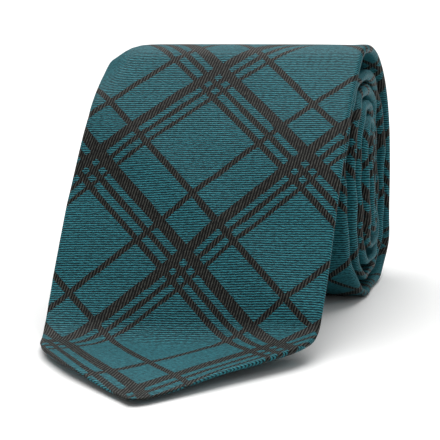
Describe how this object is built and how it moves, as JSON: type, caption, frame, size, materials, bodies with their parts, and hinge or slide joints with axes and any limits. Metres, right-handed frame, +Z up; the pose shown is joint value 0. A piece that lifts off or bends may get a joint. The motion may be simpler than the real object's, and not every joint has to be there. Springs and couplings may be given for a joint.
{
  "type": "necktie",
  "caption": "Wide-blade plaid necktie, folded in half and rolled up, with the pointed end of its front blade laid out in front of the roll.",
  "frame": {"origin": "middle of the underside of the whole object, on the surface it lies on", "axes": "+X along the axis of the roll, +Y from the pointed free end towards the roll, +Z up"},
  "size_m": [0.0749, 0.136, 0.0668],
  "materials": {
    "silk_plaid": "ribbed silk twill, teal ground with charcoal diagonal plaid, soft sheen",
    "interlining_wool": "brushed wool interlining, matt",
    "tipping_lining": "plain dark lining cloth, satin",
    "sewing_thread": "matt sewing thread",
    "label_cloth": "blank woven label, satin"
  },
  "bodies": {
    "roll": {"front_blade_roll": "silk_plaid", "front_neck_seam": "sewing_thread", "neck_shell": "silk_plaid", "tail_neck_seam": "sewing_thread", "tail_blade_shell": "silk_plaid", "interlining_roll": "interlining_wool", "tail_tipping": "tipping_lining", "tail_tipping_stitches": "sewing_thread", "tail_bar_tack": "sewing_thread", "slip_stitch_roll": "sewing_thread", "keeper_loop": "silk_plaid", "keeper_stitches": "sewing_thread", "maker_label": "label_cloth", "label_stitches": "sewing_thread", "care_label": "label_cloth", "care_label_stitches": "sewing_thread"},
    "flap": {"front_blade_flap": "silk_plaid", "interlining_flap": "interlining_wool", "front_tipping_flap": "tipping_lining", "tipping_stitches_flap": "sewing_thread", "front_bar_tack": "sewing_thread", "slip_stitch_flap": "sewing_thread"},
    "tip": {"front_blade_tip": "silk_plaid", "interlining_tip": "interlining_wool", "front_tipping_tip": "tipping_lining", "tipping_stitches_tip": "sewing_thread"}
  },
  "joints": [
    {"name": "blade_lift", "type": "hinge", "parent": "roll", "child": "flap", "pos_m": [0, 0.03526, 0.06441], "axis": [-1, 0, 0], "range_deg": [0, 130]},
    {"name": "tip_straighten", "type": "hinge", "parent": "flap", "child": "tip", "pos_m": [0, -0.02346, 0.00139], "axis": [1, 0, 0], "range_deg": [0, 52]}
  ],
  "couplings": [
    {"joint": "tip_straighten", "follows": "blade_lift", "ratio": 0.4}
  ]
}
